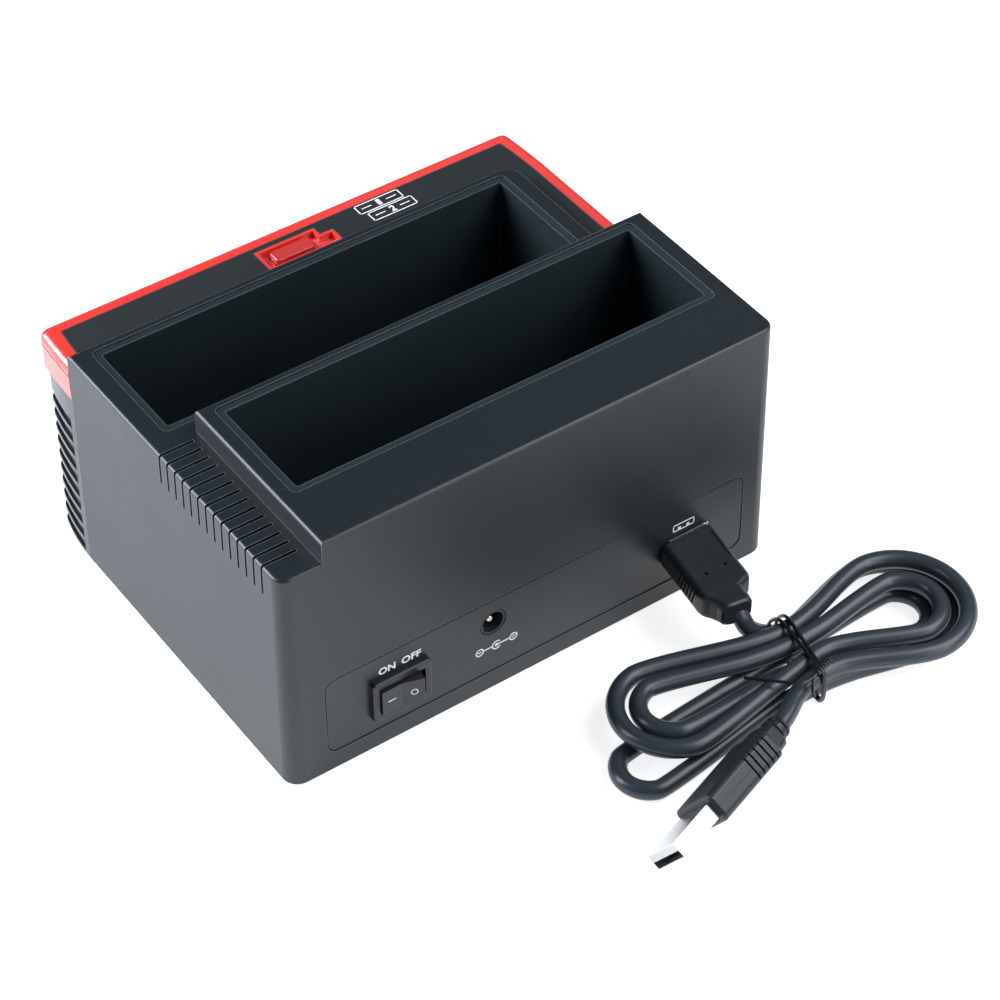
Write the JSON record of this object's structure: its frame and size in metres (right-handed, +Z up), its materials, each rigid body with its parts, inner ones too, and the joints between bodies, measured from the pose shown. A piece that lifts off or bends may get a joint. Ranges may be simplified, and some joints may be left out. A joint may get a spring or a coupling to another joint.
{
  "type": "hard drive docking station",
  "caption": "Desktop docking station with open-topped drive wells, a stepped housing, rear rocker switch, power inlet, USB port and a tied cable plugged in.",
  "frame": {"origin": "centre of the dock's footprint on the surface it stands on", "axes": "+Z up, +Y from the bezel towards the rear connectors, +X along the dock to its left end as seen from behind"},
  "size_m": [0.1806, 0.2006, 0.0783],
  "materials": {
    "housing": "fine-textured black ABS",
    "well": "satin black ABS",
    "trim": "glossy dark red plastic",
    "plate": "textured black plastic",
    "button": "glossy red plastic",
    "bezel": "gloss black plastic",
    "base": "textured black plastic",
    "foot": "matt rubber",
    "panel": "satin black plastic with white legends",
    "switch": "satin black plastic",
    "rocker": "semi-gloss black plastic with white marks",
    "contact": "tinned metal",
    "connector_shell": "nickel-plated sheet",
    "insulator": "black nylon",
    "header": "natural nylon",
    "tongue": "white thermoplastic",
    "overmould": "moulded black PVC",
    "cable": "soft black PVC jacket",
    "tie": "black plastic-coated wire",
    "board": "green solder mask",
    "chip": "black epoxy",
    "capacitor": "sleeved can",
    "can": "plain metal can",
    "coil": "ferrite",
    "screw": "zinc-plated steel",
    "led": "clear epoxy",
    "lens": "clear lens"
  },
  "bodies": {
    "dock": {"base_cover": "base", "base_screws": "screw", "bezel_screws": "screw", "board_screws": "screw", "bridge_chip": "chip", "button_board": "board", "button_board_screws": "screw", "button_tray": "trim", "cable_hank": "cable", "capacitors": "capacitor", "clone_chip": "chip", "crystal": "can", "dc_jack_body": "insulator", "dc_jack_pin": "contact", "dc_jack_terminals": "contact", "far_lead": "cable", "far_plug": "overmould", "far_plug_shell": "connector_shell", "far_plug_tongue": "tongue", "front_bezel": "bezel", "front_ide_header": "insulator", "front_power_header": "header", "front_sata_socket": "insulator", "front_well": "well", "hank_tie": "tie", "led_lenses": "lens", "main_board": "board", "main_housing": "housing", "near_lead": "cable", "near_plug": "overmould", "near_plug_shell": "connector_shell", "near_plug_tongue": "tongue", "power_coil": "coil", "rear_ide_header": "insulator", "rear_panel": "panel", "rear_power_header": "header", "rear_sata_socket": "insulator", "rear_well": "well", "red_trim": "trim", "rubber_feet": "foot", "status_leds": "led", "switch_body": "switch", "switch_terminals": "contact", "tact_switch": "insulator", "top_plate": "plate", "usb_socket_shell": "connector_shell", "usb_socket_tongue": "tongue"},
    "rocker": {"switch_rocker": "rocker"},
    "button": {"clone_button": "button", "tact_plunger": "insulator"}
  },
  "joints": [
    {"name": "rocker_tilt", "type": "hinge", "parent": "dock", "child": "rocker", "pos_m": [0.0423, 0.05477, 0.01785], "axis": [0, 0, 1], "range_deg": [0, 16]},
    {"name": "button_press", "type": "slide", "parent": "dock", "child": "button", "axis": [0, 0, -1], "range_m": [0, 0.0008], "stiffness_N_per_m": 400}
  ]
}
